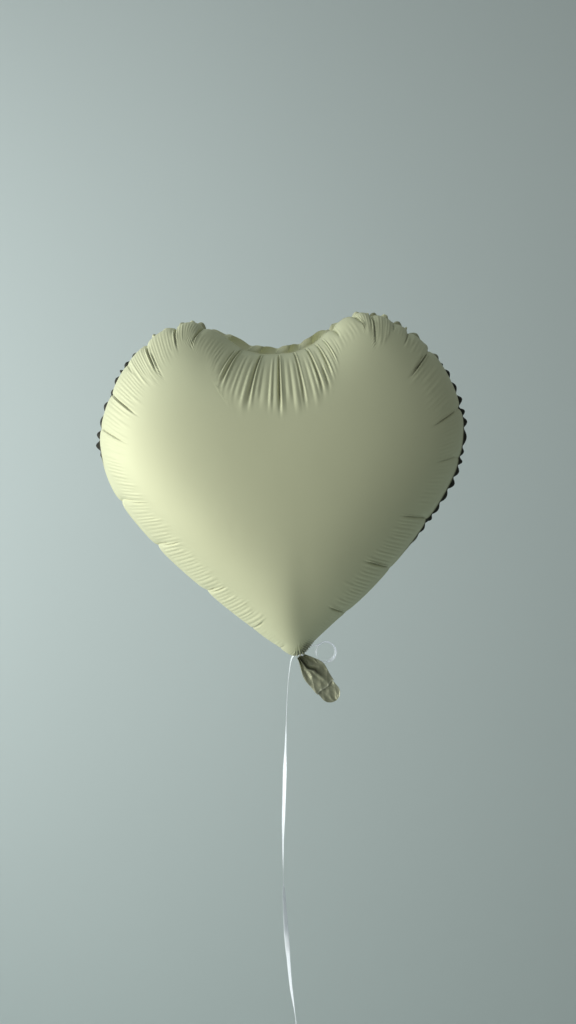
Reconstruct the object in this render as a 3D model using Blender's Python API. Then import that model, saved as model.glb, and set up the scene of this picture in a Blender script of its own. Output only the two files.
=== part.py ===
"""Heart-shaped foil balloon, tied off with curling ribbon and resting against a wall.

Frame: +X to the right of someone facing the balloon, +Y into the wall, +Z up. The origin is the middle of the
flat patch where the rear film touches the wall. The films, the valve and the tie are modelled in the heart's own
upright frame and lean with it. The two loose ribbon ends and the tail hang from empties on their hinge points.
"""
import math

import bmesh
import bpy
import numpy as np
from mathutils import Vector

# Film envelope
HEART_WIDTH = 0.372
LOBE_HEIGHT = 0.1555
TIP_DEPTH = 0.181
TIP_SHIFT = 0.004
LEAN = math.radians(3.3)
CROWN = 0.090
SEAM_TO_WALL = 0.0885
FLANGE = 0.005
FILM = 0.0006
FILM_COLUMNS = 64
FILM_RINGS = (0.012, 0.045, 0.11, 0.22, 0.37, 0.56, 0.78)

# The outer edge of the flange, from the notch to just above the tip, as shares of half the width and of the
# height above (or the depth below) the crown's level
HALF_OUTLINE = (
    (0.0, 0.797), (0.129, 0.820), (0.269, 0.907), (0.441, 1.0), (0.645, 0.931), (0.828, 0.740),
    (0.956, 0.466), (1.0, 0.219), (0.938, -0.077), (0.736, -0.382), (0.449, -0.688), (0.194, -0.890),
)

# Clearance that touching pieces keep
GAP = 0.0003

# Gathered neck and the valve strips in it
NECK_WIDTH = 0.008
NECK_LENGTH = 0.0055
NECK_HEM = 0.0015
VALVE_FILM = 0.0003
VALVE_WIDTH = 0.020
VALVE_TAPER_START = 0.011
VALVE_TAPER_END = 0.022
VALVE_LENGTH = 0.052

# Filling tail below the tie
TAIL_ANGLE = math.radians(40.7)
TAIL_START = 0.0025
TAIL_GAP = 0.0006
TAIL_ROOT_WIDTH = 0.004
TAIL_WIDTH = 0.022
TAIL_SHOULDER = 0.024
MOUTH_AT = 0.041
TAB_WIDTH = 0.020
TAB_END = 0.058
TAB_ARC_STEPS = 8

# Curling ribbon
RIBBON_WIDTH = 0.005
WRAP_WIDTH = 0.003
WRAP_THICKNESS = 0.0009
KNOT_RADIUS = 0.0022
KNOT_OFFSET = -0.003
TUBE_STEP = 0.014
END_SPACE = 0.0027

# The long end's route from the knot, across and along, and its coil
LONG_ROUTE = (
    (-0.0044, -0.0080), (-0.0070, -0.0260), (-0.0086, -0.0500), (-0.0098, -0.0900), (-0.0112, -0.1400),
    (-0.0124, -0.1850), (-0.0122, -0.2250), (-0.0106, -0.2600), (-0.0082, -0.2950), (-0.0048, -0.3350),
    (0.0000, -0.3680),
)
LONG_START_ANGLE = math.radians(-122)
COIL_CENTRE = (0.0080, -0.4120)
COIL_ENTRY_ANGLE = math.radians(100)
COIL_MEAN_RADIUS = 0.0275
COIL_BUILD = 0.0090
COIL_WIDTH = 0.0060
COIL_SEGMENTS = 40
TIE_WIDTH = 0.004
TIE_THICKNESS = 0.0008

# The short end's lead and its curled ring
LEAD_ROUTE = ((0.0075, 0.0034), (0.0135, 0.0064), (0.0190, 0.0086))
LEAD_START_ANGLE = math.radians(25)
CURL_CENTRE = (0.0304, 0.0005)
CURL_OUTER_RADIUS = 0.0108
CURL_BUILD = 0.0022
CURL_WIDTH = 0.0066
CURL_SEGMENTS = 32

# Profile of an inflated film, from a mean distance to the rim (0 at the rim, 1 at the crown)
PROFILE_GAIN = 0.238
PROFILE_DROP = 0.323

FOIL = (0.60, 0.62, 0.49)
FOIL_INSIDE = (0.66, 0.67, 0.66)
RIBBON = (0.86, 0.89, 0.92)


def clear_scene():
    for thing in list(bpy.data.objects):
        bpy.data.objects.remove(thing, do_unlink=True)


def material(name, colour, roughness, metallic):
    made = bpy.data.materials.new(name)
    made.use_nodes = True
    shader = made.node_tree.nodes["Principled BSDF"]
    shader.inputs["Base Color"].default_value = (*colour, 1.0)
    shader.inputs["Roughness"].default_value = roughness
    shader.inputs["Metallic"].default_value = metallic
    return made


def empty(name, place, turn_y=0.0):
    made = bpy.data.objects.new(name, None)
    made.location = place
    made.rotation_euler = (0.0, turn_y, 0.0)
    bpy.context.collection.objects.link(made)
    return made


def add_object(name, data, finish, parent, place=(0.0, 0.0, 0.0)):
    made = bpy.data.objects.new(name, data)
    made.parent = parent
    made.location = place
    data.materials.append(finish)
    bpy.context.collection.objects.link(made)
    return made


def mesh_from(name, points, faces):
    mesh = bpy.data.meshes.new(name)
    mesh.from_pydata([tuple(map(float, p)) for p in points], [], faces)
    mesh.validate()
    return mesh


def mesh_from_bmesh(name, shape):
    bmesh.ops.recalc_face_normals(shape, faces=shape.faces)
    mesh = bpy.data.meshes.new(name)
    shape.to_mesh(mesh)
    shape.free()
    return mesh


def smooth_curve(points, count):
    """A Catmull-Rom curve through the points, cut into even steps of length."""
    given = np.asarray(points, dtype=float)
    held = np.vstack([2 * given[0] - given[1], given, 2 * given[-1] - given[-2]])
    u = np.linspace(0.0, 1.0, 24, endpoint=False)[:, None]
    spans = []
    for a, b, c, d in zip(held, held[1:], held[2:], held[3:]):
        spans.append(0.5 * (2 * b + (c - a) * u + (2 * a - 5 * b + 4 * c - d) * u**2
                            + (3 * b - a - 3 * c + d) * u**3))
    dense = np.vstack(spans + [given[-1:]])
    run = np.concatenate([[0.0], np.cumsum(np.linalg.norm(np.diff(dense, axis=0), axis=1))])
    even = np.linspace(0.0, run[-1], count)
    return np.stack([np.interp(even, run, column) for column in dense.T], axis=1)


def heart_outline():
    """The flange's outer edge, from the tip's right corner over both lobes to its left corner."""
    side = []
    for across, along in HALF_OUTLINE:
        reach = LOBE_HEIGHT if along > 0 else TIP_DEPTH
        side.append((across * HEART_WIDTH / 2, along * reach))
    side.append((NECK_WIDTH / 2, -TIP_DEPTH))
    right = side[::-1]
    left = [(-x, z) for x, z in side[1:]]
    rim = smooth_curve(right + left, FILM_COLUMNS)
    return shift_to_tip(rim)


def shift_to_tip(points):
    """Below the crown the heart leans to its tip, which lies TIP_SHIFT to the right."""
    moved = np.array(points, dtype=float)
    depth = np.minimum(moved[:, 1], 0.0) / TIP_DEPTH
    moved[:, 0] += TIP_SHIFT * depth**2
    return moved


def weld_line(rim):
    """The weld's inner edge: each rim point moved towards the crown until it is FLANGE from the edge."""
    ahead = np.roll(rim, -1, axis=0)
    behind = np.roll(rim, 1, axis=0)
    ahead[-1] = rim[-1] + (rim[-1] - rim[-2])
    behind[0] = rim[0] + (rim[0] - rim[1])
    along = ahead - behind
    normal = np.stack([along[:, 1], -along[:, 0]], axis=1)
    normal /= np.linalg.norm(normal, axis=1)[:, None]
    outward = rim / np.linalg.norm(rim, axis=1)[:, None]
    slant = np.sum(normal * outward, axis=1)
    return rim - outward * (FLANGE / slant)[:, None]


def mean_distance(points, rim):
    """Two over the integral, over every direction, of one over the distance to the rim, exact on straight
    edges. Close to the rim it is the plain distance, and further in it blends all sides smoothly."""
    start = rim[None] - points[:, None]
    end = np.roll(rim, -1, axis=0)[None] - points[:, None]
    edge = end - start
    along = edge / np.linalg.norm(edge, axis=2)[:, :, None]
    square = start[:, :, 0] * along[:, :, 1] - start[:, :, 1] * along[:, :, 0]
    square = np.where(np.abs(square) < 1e-9, 1e-9, square)
    sine_end = np.sum(end * along, axis=2) / np.linalg.norm(end, axis=2)
    sine_start = np.sum(start * along, axis=2) / np.linalg.norm(start, axis=2)
    return 2.0 / np.sum((sine_end - sine_start) / square, axis=1)


def film_share(points, rim):
    """Height of the inflated film as a share of the crown's."""
    distance = mean_distance(points, rim)
    share = np.clip(distance / distance.max(), 0.0, 1.0)
    return np.sqrt(share) * (1 + PROFILE_GAIN * (1 - share) - PROFILE_DROP * (1 - share) ** 2)


def neck_half_gap():
    """Half the room between the films in the neck: two valve strips and three clearances."""
    return 1.5 * GAP + VALVE_FILM


def film_surface():
    """Rings of (x, height over the seam plane, z), outer faces, with a flat flange and the neck's tongue."""
    rim = heart_outline()
    weld = weld_line(rim)
    base = np.full(FILM_COLUMNS, GAP / 2 + FILM)
    base[[0, -1]] = neck_half_gap() + FILM
    rings = [(rim, base), (weld, base)]
    inner = np.vstack([weld * (1 - share) for share in FILM_RINGS] + [np.zeros((1, 2))])
    rise = film_share(inner, weld)
    for index in range(len(FILM_RINGS)):
        rows = slice(index * FILM_COLUMNS, (index + 1) * FILM_COLUMNS)
        rings.append((inner[rows], base + (CROWN - base) * rise[rows]))
    points = [(x, height, z) for ring, heights in rings for (x, z), height in zip(ring, heights)]
    points.append((0.0, base[0] + (CROWN - base[0]) * rise[-1], 0.0))
    faces = []
    for row in range(len(rings) - 1):
        for column in range(FILM_COLUMNS):
            ahead = (column + 1) % FILM_COLUMNS
            low = row * FILM_COLUMNS
            high = low + FILM_COLUMNS
            faces.append((low + column, low + ahead, high + ahead, high + column))
    last = (len(rings) - 1) * FILM_COLUMNS
    centre = len(points) - 1
    for column in range(FILM_COLUMNS):
        faces.append((last + column, last + (column + 1) % FILM_COLUMNS, centre))
    for x, z in (rim[0], rim[-1]):
        points.append((x, base[0], z - NECK_LENGTH))
    faces.append((FILM_COLUMNS - 1, len(points) - 1, len(points) - 2, 0))
    return points, faces


def film(name, side, depth_limit, finish, parent):
    """One film panel: side is -1 in front and +1 behind, and depth_limit is where it is pressed flat."""
    points, faces = film_surface()
    placed = [(x, side * min(height, depth_limit), z) for x, height, z in points]
    if side > 0:
        faces = [face[::-1] for face in faces]
    made = add_object(name, mesh_from(name, placed, faces), finish, parent)
    wall = made.modifiers.new("film", "SOLIDIFY")
    wall.thickness = FILM
    wall.offset = -1.0
    wall.use_even_offset = True
    made.data.shade_smooth()
    made.data.set_sharp_from_angle(angle=math.radians(30))
    return made


def plate(name, outline, thickness, middle, finish, parent, place=(0.0, 0.0, 0.0)):
    """A flat sheet cut to an outline in X and Z, its thickness centred on Y = middle."""
    shape = bmesh.new()
    near = [shape.verts.new((x, middle - thickness / 2, z)) for x, z in outline]
    face = shape.faces.new(near)
    grown = bmesh.ops.extrude_face_region(shape, geom=[face])
    moved = [part for part in grown["geom"] if isinstance(part, bmesh.types.BMVert)]
    bmesh.ops.translate(shape, vec=(0.0, thickness, 0.0), verts=moved)
    return add_object(name, mesh_from_bmesh(name, shape), finish, parent, place)


def valve_outline(rim):
    """A strip as wide as the neck lets through, opening to its full width inside the balloon."""
    middle = (rim[0, 0] + rim[-1, 0]) / 2
    foot = -TIP_DEPTH - NECK_LENGTH
    narrow = NECK_WIDTH / 2 - NECK_HEM
    wide = VALVE_WIDTH / 2
    side = ((narrow, foot), (narrow, foot + VALVE_TAPER_START), (wide, foot + VALVE_TAPER_END),
            (wide, foot + VALVE_LENGTH))
    right = [(middle + x, z) for x, z in side]
    left = [(middle - x, z) for x, z in reversed(side)]
    return right + left


def tail_outline(length, width, rounded):
    """From the gathered root to the shoulder and on to a square mouth, or to a round tab."""
    root = (TAIL_ROOT_WIDTH / 2, -TAIL_START)
    shoulder = (TAIL_WIDTH / 2, -TAIL_SHOULDER)
    side = [root, shoulder]
    if rounded:
        side.append((TAIL_WIDTH / 2, -MOUTH_AT))
        radius = width / 2
        for step in range(TAB_ARC_STEPS):
            turn = 0.5 * math.pi * step / TAB_ARC_STEPS
            side.append((radius * math.cos(turn), -length + radius - radius * math.sin(turn)))
        return side + [(0.0, -length)] + [(-x, z) for x, z in reversed(side)]
    side.append((width / 2, -length))
    return side + [(-x, z) for x, z in reversed(side)]


def rounded_rectangle(half_width, half_depth, radius, steps=5):
    points = []
    corners = ((1, 1, 0), (-1, 1, 1), (-1, -1, 2), (1, -1, 3))
    for sign_x, sign_y, quarter in corners:
        for step in range(steps + 1):
            turn = 0.5 * math.pi * (quarter + step / steps)
            x = sign_x * (half_width - radius) + radius * math.cos(turn)
            y = sign_y * (half_depth - radius) + radius * math.sin(turn)
            points.append((x, y))
    return points


def band(name, inner, outer, width, finish, parent, place, turn_y=0.0):
    """A loop of tape: two outlines in X and Y with the same number of points, standing width high along Z."""
    count = len(inner)
    points = []
    for outline, level in ((inner, -1), (outer, -1), (inner, 1), (outer, 1)):
        points.extend((x, y, level * width / 2) for x, y in outline)
    faces = []
    for i in range(count):
        j = (i + 1) % count
        faces.append((i, j, count + j, count + i))
        faces.append((2 * count + i, 3 * count + i, 3 * count + j, 2 * count + j))
        faces.append((i, 2 * count + i, 2 * count + j, j))
        faces.append((count + i, count + j, 3 * count + j, 3 * count + i))
    shape = bmesh.new()
    held = [shape.verts.new(p) for p in points]
    for face in faces:
        shape.faces.new([held[i] for i in face])
    made = add_object(name, mesh_from_bmesh(name, shape), finish, parent, place)
    made.rotation_euler = (0.0, turn_y, 0.0)
    return made


def turned_ring(name, inner_radius, outer_radius, width, segments, finish, parent, place):
    """A rectangle turned about Y."""
    shape = bmesh.new()
    corners = ((inner_radius, -width / 2), (outer_radius, -width / 2), (outer_radius, width / 2),
               (inner_radius, width / 2))
    held = [shape.verts.new((r, y, 0.0)) for r, y in corners]
    edges = [shape.edges.new((held[i], held[(i + 1) % 4])) for i in range(4)]
    bmesh.ops.spin(shape, geom=edges, cent=(0, 0, 0), axis=(0, 1, 0), angle=2 * math.pi, steps=segments,
                   use_merge=True, use_duplicate=False)
    made = add_object(name, mesh_from_bmesh(name, shape), finish, parent, place)
    made.data.shade_smooth()
    made.data.set_sharp_from_angle(angle=math.radians(30))
    return made


def tube(name, route, finish, parent):
    """A round cord along a smooth curve through the route, in X and Z from its parent."""
    length = np.sum(np.linalg.norm(np.diff(np.asarray(route), axis=0), axis=1))
    path = smooth_curve(route, max(4, int(round(length / TUBE_STEP)) + 1))
    curve = bpy.data.curves.new(name, "CURVE")
    curve.dimensions = "3D"
    curve.bevel_depth = RIBBON_WIDTH / 2
    curve.bevel_resolution = 2
    curve.render_resolution_u = 0
    curve.use_fill_caps = True
    spline = curve.splines.new("POLY")
    spline.points.add(len(path) - 1)
    for point, (x, z) in zip(spline.points, path):
        point.co = (x, 0.0, z, 1.0)
    return add_object(name, curve, finish, parent)


def at_angle(distance, angle):
    return (distance * math.cos(angle), distance * math.sin(angle))


def make_films(heart, foil):
    far = 2 * CROWN
    film("front_film", -1, far, foil, heart)
    film("rear_film", 1, SEAM_TO_WALL, foil, heart)


def make_valve(heart, finish):
    outline = valve_outline(heart_outline())
    middle = (GAP + VALVE_FILM) / 2
    plate("valve_front_strip", outline, VALVE_FILM, -middle, finish, heart)
    plate("valve_rear_strip", outline, VALVE_FILM, middle, finish, heart)


def wrap_half_depth():
    return neck_half_gap() + FILM + GAP + WRAP_THICKNESS


def make_wrap(heart, finish):
    half_width = NECK_WIDTH / 2 + GAP
    half_depth = wrap_half_depth() - WRAP_THICKNESS
    inner = rounded_rectangle(half_width, half_depth, GAP)
    outer = rounded_rectangle(half_width + WRAP_THICKNESS, half_depth + WRAP_THICKNESS, GAP + WRAP_THICKNESS)
    middle = -TIP_DEPTH - NECK_LENGTH / 2
    band("ribbon_wrap", inner, outer, WRAP_WIDTH, finish, heart, (TIP_SHIFT, 0.0, middle))


def knot_place():
    behind = wrap_half_depth() + GAP + RIBBON_WIDTH / 2
    return Vector((TIP_SHIFT + KNOT_OFFSET, behind, -TIP_DEPTH - NECK_LENGTH / 2))


def make_knot(heart, finish):
    shape = bmesh.new()
    bmesh.ops.create_uvsphere(shape, u_segments=16, v_segments=10, radius=KNOT_RADIUS)
    made = add_object("ribbon_knot", mesh_from_bmesh("ribbon_knot", shape), finish, heart, knot_place())
    made.data.shade_smooth()


def make_tail(hinge, foil):
    middle = (TAIL_GAP + FILM) / 2
    front = tail_outline(MOUTH_AT, TAIL_WIDTH, False)
    rear = tail_outline(TAB_END, TAB_WIDTH, True)
    plate("tail_front_film", front, FILM, -middle, foil, hinge)
    plate("tail_rear_film", rear, FILM, middle, foil, hinge)


def make_long_end(hinge, finish):
    outer = COIL_MEAN_RADIUS + COIL_BUILD / 2
    inner = COIL_MEAN_RADIUS - COIL_BUILD / 2
    across, along = at_angle(outer + 2 * GAP, COIL_ENTRY_ANGLE)
    end = (COIL_CENTRE[0] + across, COIL_CENTRE[1] + along)
    route = (at_angle(END_SPACE, LONG_START_ANGLE), *LONG_ROUTE, end)
    tube("ribbon_long", route, finish, hinge)
    centre = (COIL_CENTRE[0], 0.0, COIL_CENTRE[1])
    turned_ring("ribbon_coil", inner, outer, COIL_WIDTH, COIL_SEGMENTS, finish, hinge, centre)
    half_width = COIL_BUILD / 2 + 2 * GAP
    half_depth = COIL_WIDTH / 2 + GAP
    hole = rounded_rectangle(half_width, half_depth, GAP)
    outside = rounded_rectangle(half_width + TIE_THICKNESS, half_depth + TIE_THICKNESS, GAP + TIE_THICKNESS)
    side = (COIL_CENTRE[0] + COIL_MEAN_RADIUS, 0.0, COIL_CENTRE[1])
    band("coil_tie", hole, outside, TIE_WIDTH, finish, hinge, side)


def make_curl(hinge, finish):
    route = (at_angle(END_SPACE, LEAD_START_ANGLE), *LEAD_ROUTE)
    tube("curl_lead", route, finish, hinge)
    centre = (CURL_CENTRE[0], 0.0, CURL_CENTRE[1])
    inner = CURL_OUTER_RADIUS - CURL_BUILD
    turned_ring("ribbon_curl", inner, CURL_OUTER_RADIUS, CURL_WIDTH, CURL_SEGMENTS, finish, hinge, centre)


def lean_to_world(place):
    """A point of the heart's frame, leant about Y and set at the seam plane's distance from the wall."""
    x, y, z = place
    return Vector((x * math.cos(LEAN) - z * math.sin(LEAN), y - SEAM_TO_WALL,
                   x * math.sin(LEAN) + z * math.cos(LEAN)))


def main():
    clear_scene()
    foil = material("satin_foil", FOIL, 0.34, 0.85)
    valve = material("valve_film", FOIL_INSIDE, 0.45, 0.0)
    ribbon = material("curling_ribbon", RIBBON, 0.18, 0.0)
    heart = empty("heart_axis", (0.0, -SEAM_TO_WALL, 0.0), -LEAN)
    make_films(heart, foil)
    make_valve(heart, valve)
    make_wrap(heart, ribbon)
    make_knot(heart, ribbon)
    tail_hinge = lean_to_world((TIP_SHIFT, 0.0, -TIP_DEPTH - NECK_LENGTH - GAP))
    make_tail(empty("tail_hinge", tail_hinge, -TAIL_ANGLE), foil)
    knot = lean_to_world(knot_place())
    make_long_end(empty("long_end_hinge", knot), ribbon)
    make_curl(empty("curl_hinge", knot), ribbon)


main()
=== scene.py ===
import math

import bpy
import numpy as np
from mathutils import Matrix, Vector


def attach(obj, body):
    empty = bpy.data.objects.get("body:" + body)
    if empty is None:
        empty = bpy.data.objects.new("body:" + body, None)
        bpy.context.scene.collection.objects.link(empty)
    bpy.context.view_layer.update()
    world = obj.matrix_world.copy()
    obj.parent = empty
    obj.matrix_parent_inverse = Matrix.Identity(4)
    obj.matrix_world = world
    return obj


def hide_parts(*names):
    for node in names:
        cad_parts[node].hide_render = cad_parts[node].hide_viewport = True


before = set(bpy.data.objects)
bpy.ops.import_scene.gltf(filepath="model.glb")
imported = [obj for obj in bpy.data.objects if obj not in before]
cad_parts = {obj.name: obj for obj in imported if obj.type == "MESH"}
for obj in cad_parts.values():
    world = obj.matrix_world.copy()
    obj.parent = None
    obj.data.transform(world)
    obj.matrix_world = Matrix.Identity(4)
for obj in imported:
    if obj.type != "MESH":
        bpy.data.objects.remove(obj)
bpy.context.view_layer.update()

# Heart panels, in metres, with their outline as shares of half the width and of the height or depth
HEART_WIDTH = 0.372
LOBE_HEIGHT = 0.1555
TIP_DEPTH = 0.181
TIP_SHIFT = 0.004
LEAN = math.radians(3.3)
CROWN = 0.090
SEAM_TO_WALL = 0.0885
NECK_WIDTH = 0.008
HALF_OUTLINE = (
    (0.0, 0.797), (0.129, 0.820), (0.269, 0.907), (0.441, 1.0), (0.645, 0.931), (0.828, 0.740),
    (0.956, 0.466), (1.0, 0.219), (0.938, -0.077), (0.736, -0.382), (0.449, -0.688), (0.194, -0.890),
)
PROFILE_GAIN = 0.238
PROFILE_DROP = 0.323
FOIL_GAP = 0.0003
WALL_SPACE = 0.0003
WALL_EASE = 0.0009

# Film grid
SIDE_COLUMNS = 1620
FOOT_COLUMNS = 14
FILM_ROWS = 57
FLANGE_ROWS = 5

# Curling ribbon
RIBBON_WIDTH = 0.005
RIBBON_THICKNESS = 0.00022
KNOT_OFFSET = -0.003
KNOT_BEHIND = 0.00535
NECK_LENGTH = 0.0055
LONG_ROUTE = (
    (-0.0044, -0.0080), (-0.0070, -0.0260), (-0.0086, -0.0500), (-0.0098, -0.0900), (-0.0112, -0.1400),
    (-0.0124, -0.1850), (-0.0122, -0.2250), (-0.0106, -0.2600), (-0.0082, -0.2950), (-0.0048, -0.3350),
    (0.0000, -0.3680),
)
LONG_START = (0.0027, math.radians(-122))
COIL_LEAD = (0.0012, -0.3757)
COIL_CENTRE = (0.0080, -0.4120)
COIL_ENTRY = math.radians(100)
COIL_OUTER = 0.0312
COIL_INNER = 0.0240
COIL_TURNS = 4.0
COIL_MEAN = 0.0275
LEAD_ROUTE = ((0.0075, 0.0034), (0.0135, 0.0064), (0.0190, 0.0086))
LEAD_START = (0.0027, math.radians(25))
CURL_CENTRE = (0.0304, 0.0005)
CURL_OUTER = 0.0106
CURL_INNER = 0.0093
CURL_ENTRY = math.radians(142)
CURL_TURNS = 1.62

# Filling tail
TAIL_ANGLE = math.radians(40.7)
TAIL_START = 0.0025
TAIL_WIDTH = 0.022
TAIL_SHOULDER = 0.024
MOUTH_AT = 0.041
TAB_WIDTH = 0.020
TAB_END = 0.058
TAIL_GAP = 0.0006


# ------------------------ shader maths
class Number:
    """A socket that carries a number. Each operator adds one Math node."""

    def __init__(self, finish, socket):
        self.finish = finish
        self.socket = socket

    def apply(self, operation, *values):
        node = self.finish.add("ShaderNodeMath", {"operation": operation}, dict(enumerate(values)))
        return Number(self.finish, node.outputs[0])

    def __add__(self, other):
        return self.apply("ADD", self, other)

    def __sub__(self, other):
        return self.apply("SUBTRACT", self, other)

    def __mul__(self, other):
        return self.apply("MULTIPLY", self, other)

    def __pow__(self, other):
        return self.apply("POWER", self, other)

    def __radd__(self, other):
        return self.apply("ADD", other, self)

    def __rsub__(self, other):
        return self.apply("SUBTRACT", other, self)

    def __rmul__(self, other):
        return self.apply("MULTIPLY", other, self)

    def clipped(self):
        return self.apply("MAXIMUM", self.apply("MINIMUM", self, 1.0), 0.0)

    def wave(self):
        return self.apply("SINE", self)


class Finish:
    """A procedural material around one Principled shader."""

    def __init__(self, name, roughness, metallic, **constants):
        self.material = bpy.data.materials.new(name)
        self.material.use_nodes = True
        self.tree = self.material.node_tree
        self.shader = self.tree.nodes["Principled BSDF"]
        self.shader.inputs["Roughness"].default_value = roughness
        self.shader.inputs["Metallic"].default_value = metallic
        for socket, value in constants.items():
            self.shader.inputs[socket.replace("_", " ")].default_value = value

    def add(self, kind, settings=None, sockets=None):
        node = self.tree.nodes.new(kind)
        for key, value in (settings or {}).items():
            setattr(node, key, value)
        for key, value in (sockets or {}).items():
            self.feed(node.inputs[key], value)
        return node

    def feed(self, socket, value):
        if isinstance(value, Number):
            value = value.socket
        if isinstance(value, bpy.types.NodeSocket):
            self.tree.links.new(value, socket)
        else:
            socket.default_value = value

    def place(self, stretch):
        """Object coordinates, times the stretch along each axis."""
        sockets = {"Vector": self.add("ShaderNodeTexCoord").outputs["Object"], "Scale": stretch}
        return self.add("ShaderNodeMapping", None, sockets).outputs[0]

    def noise(self, scale, detail=2.0, roughness=0.5, distortion=0.0, stretch=(1.0, 1.0, 1.0)):
        sockets = {"Vector": self.place(stretch), "Scale": scale, "Detail": detail,
                   "Roughness": roughness, "Distortion": distortion}
        return Number(self, self.add("ShaderNodeTexNoise", None, sockets).outputs[0])

    def along(self):
        """The piece's own UV map, in metres: along it and across it."""
        split = self.add("ShaderNodeSeparateXYZ", None, {0: self.add("ShaderNodeTexCoord").outputs["UV"]})
        return Number(self, split.outputs[0]), Number(self, split.outputs[1])

    def attribute(self, name):
        node = self.add("ShaderNodeAttribute", {"attribute_name": name})
        return Number(self, node.outputs["Fac"])

    def mixed(self, share, first, second):
        """A Mix node on colours, whose share and two colours are its inputs 0, 6 and 7."""
        node = self.add("ShaderNodeMix", {"data_type": "RGBA"}, {0: share, 6: first, 7: second})
        return node.outputs[2]

    def colour(self, value):
        self.feed(self.shader.inputs["Base Color"], value)

    def roughness(self, value):
        self.feed(self.shader.inputs["Roughness"], value)

    def bump(self, height, distance, strength):
        sockets = {"Strength": strength, "Distance": distance, "Height": height}
        node = self.add("ShaderNodeBump", None, sockets)
        self.feed(self.shader.inputs["Normal"], node.outputs[0])


def foil_finish():
    """Satin printed foil: slow tone drift, satin grain, soft dents, and painted shade on the seam and in the
    valleys.
    """
    finish = Finish("satin_foil", 0.58, 0.24, Specular_IOR_Level=0.28)
    drift = finish.noise(9.0)
    grain = finish.noise(900.0)
    deep = (0.71, 0.715, 0.48, 1.0)
    pale = (0.76, 0.765, 0.52, 1.0)
    # Painted shade: the near-black colour that the shade attribute mixes in on the flange, folds and pleats
    painted_dark = (0.026, 0.026, 0.018, 1.0)
    tone = finish.mixed(((drift - 0.35) * 1.6).clipped(), deep, pale)
    finish.colour(finish.mixed(finish.attribute("painted_shade").clipped(), tone, painted_dark))
    finish.roughness(0.56 + drift * 0.05 + grain * 0.05)
    dents = finish.noise(34.0, 2.0, 0.45, 0.6)
    finish.bump(dents * 0.7 + grain * 0.02, 0.0009, 0.30)
    return finish.material


def tail_finish():
    """The same foil, handled: dull, lightly dented, painted shade in its folds and pale along the cut mouth.
    """
    finish = Finish("crinkled_foil", 0.40, 0.50)
    drift = finish.noise(70.0, 3.0)
    creased = finish.noise(170.0, 2.0, 0.5, 0.8)
    deep = (0.40, 0.41, 0.28, 1.0)
    pale = (0.50, 0.51, 0.37, 1.0)
    mouth_pale = (0.72, 0.73, 0.58, 1.0)
    # Painted shade: near-black colour mixed in along the tail's folds by the shade attribute
    painted_dark = (0.018, 0.019, 0.010, 1.0)
    tone = finish.mixed(((drift - 0.3) * 1.8).clipped(), deep, pale)
    # A paler colour in a narrow band along the cut mouth
    _, down = finish.along()
    hem = (1.0 - ((down - MOUTH_AT + 0.0008) * 1100.0) ** 2.0).clipped()
    tone = finish.mixed(hem * 0.55, tone, mouth_pale)
    finish.colour(finish.mixed(finish.attribute("painted_shade").clipped(), tone, painted_dark))
    finish.roughness(0.36 + creased * 0.14)
    finish.bump(creased, 0.0009, 0.35)
    return finish.material


def ribbon_finish():
    """Glossy curling ribbon: milky plastic with fine ribs along its length, and a faint painted glow."""
    # Painted light: a faint pale blue emission that brightens the ribbon though it is no lamp
    finish = Finish("curling_ribbon", 0.28, 0.0, Coat_Weight=0.3, Coat_Roughness=0.15,
                    Transmission_Weight=0.25, Emission_Color=(0.86, 0.93, 0.96, 1.0), Emission_Strength=0.11)
    rib_pitch = 0.00042
    _, across = finish.along()
    ribs = (across * (2 * math.pi / rib_pitch)).wave()
    cloud = finish.noise(120.0)
    blue = (0.88, 0.92, 0.96, 1.0)
    white = (0.94, 0.96, 0.98, 1.0)
    finish.colour(finish.mixed(((cloud - 0.3) * 1.5).clipped(), blue, white))
    finish.roughness(0.18 + cloud * 0.10)
    finish.bump(ribs * 0.5 + 0.5, 0.00004, 0.6)
    return finish.material


def valve_finish():
    """Milky valve plastic with a faint drawn grain."""
    finish = Finish("valve_film", 0.45, 0.0)
    grain = finish.noise(600.0, stretch=(1.0, 1.0, 0.15))
    finish.colour(finish.mixed(grain, (0.56, 0.58, 0.57, 1.0), (0.68, 0.69, 0.68, 1.0)))
    finish.roughness(0.40 + grain * 0.10)
    return finish.material


# ------------------------ curves and grids
def unit(vectors):
    """The vectors at length one."""
    return vectors / np.linalg.norm(vectors, axis=-1)[..., None]


def distance_along(path):
    """The length of the line from its start to each of its points."""
    return np.concatenate([[0.0], np.cumsum(np.linalg.norm(np.diff(path, axis=0), axis=1))])


def smooth_curve(points, count):
    """A Catmull-Rom curve through the points, cut into even steps of length."""
    given = np.asarray(points, dtype=float)
    held = np.vstack([2 * given[0] - given[1], given, 2 * given[-1] - given[-2]])
    u = np.linspace(0.0, 1.0, 24, endpoint=False)[:, None]
    spans = []
    for a, b, c, d in zip(held, held[1:], held[2:], held[3:]):
        spans.append(0.5 * (2 * b + (c - a) * u + (2 * a - 5 * b + 4 * c - d) * u**2
                            + (3 * b - a - 3 * c + d) * u**3))
    dense = np.vstack(spans + [given[-1:]])
    return evenly(dense, count)


def evenly(dense, count):
    """The same line cut into even steps of its own length."""
    run = distance_along(dense)
    even = np.linspace(0.0, run[-1], count)
    return np.stack([np.interp(even, run, column) for column in dense.T], axis=1)


def step(low, high, value):
    """A smooth rise from 0 to 1: 3u^2 - 2u^3 for u from low to high."""
    u = np.clip((value - low) / (high - low), 0.0, 1.0)
    return u * u * (3 - 2 * u)


def between(rise, full, wane, gone, value):
    """A smooth rise from 0 at rise to 1 at full, and a smooth fall from 1 at wane to 0 at gone."""
    return step(rise, full, value) * (1 - step(wane, gone, value))


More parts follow.
